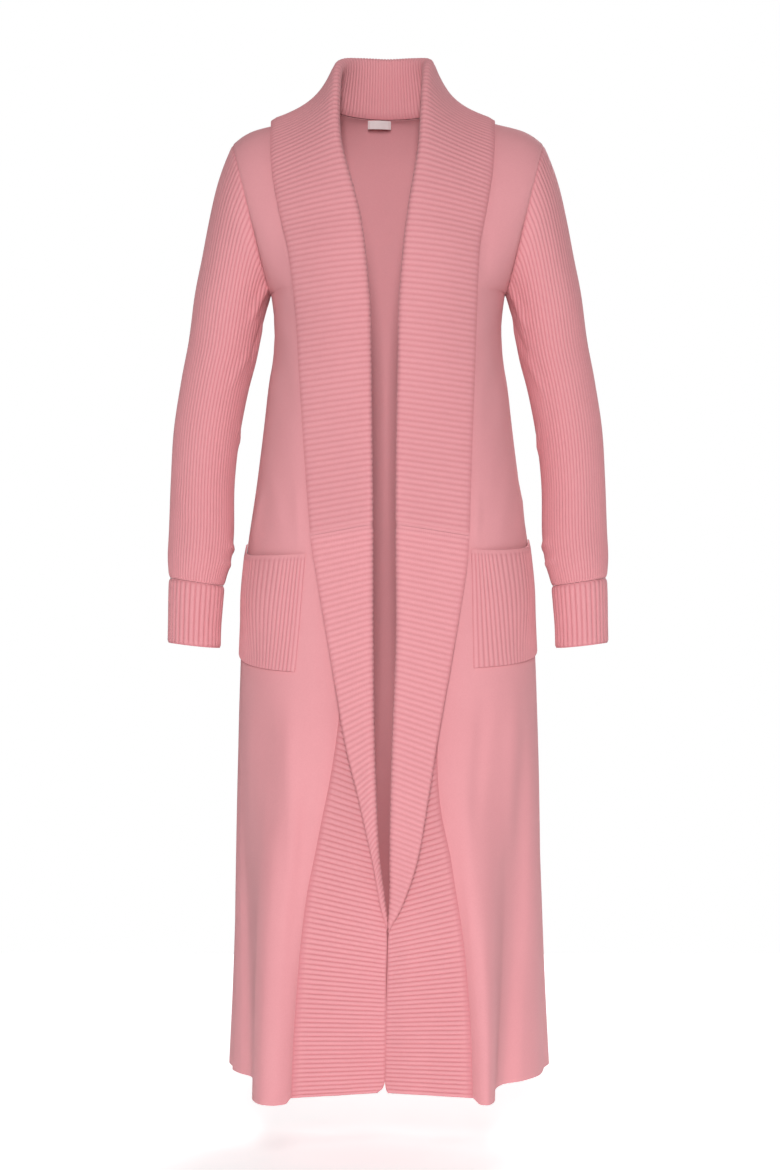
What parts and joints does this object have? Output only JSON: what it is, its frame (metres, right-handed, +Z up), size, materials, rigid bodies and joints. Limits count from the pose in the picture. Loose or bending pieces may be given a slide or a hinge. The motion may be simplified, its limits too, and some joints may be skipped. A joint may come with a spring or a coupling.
{
  "type": "duster cardigan",
  "caption": "Long open-front knitted duster cardigan with a wide ribbed shawl collar and bands, set-in sleeves with cuffs, and patch pockets.",
  "frame": {"origin": "middle of the neck at the height of the shoulder seams' neck ends, where a wearer's neck and shoulders hold the garment", "axes": "+Z up along the worn garment, -Y towards the front opening, +X towards the viewer's right when looking at the front"},
  "size_m": [0.5442, 0.3607, 1.2803],
  "materials": {
    "back_knit": "plain fine jersey knit",
    "front_left_knit": "plain fine jersey knit",
    "front_right_knit": "plain fine jersey knit",
    "sleeve_left_knit": "fine rib knit",
    "sleeve_right_knit": "fine rib knit",
    "cuff_left_knit": "tight rib knit",
    "cuff_right_knit": "tight rib knit",
    "shawl_collar_knit": "wide rib knit",
    "front_band_left_knit": "wide rib knit",
    "front_band_right_knit": "wide rib knit",
    "pocket_left_knit": "rib knit with a plain top hem",
    "pocket_right_knit": "rib knit with a plain top hem",
    "label_weave": "smooth woven label"
  },
  "bodies": {
    "root": {"back": "back_knit", "front_left": "front_left_knit", "front_right": "front_right_knit", "sleeve_left": "sleeve_left_knit", "sleeve_right": "sleeve_right_knit", "cuff_left": "cuff_left_knit", "cuff_right": "cuff_right_knit", "shawl_collar": "shawl_collar_knit", "front_band_left": "front_band_left_knit", "front_band_right": "front_band_right_knit", "pocket_left": "pocket_left_knit", "pocket_right": "pocket_right_knit", "neck_label": "label_weave"}
  },
  "joints": []
}
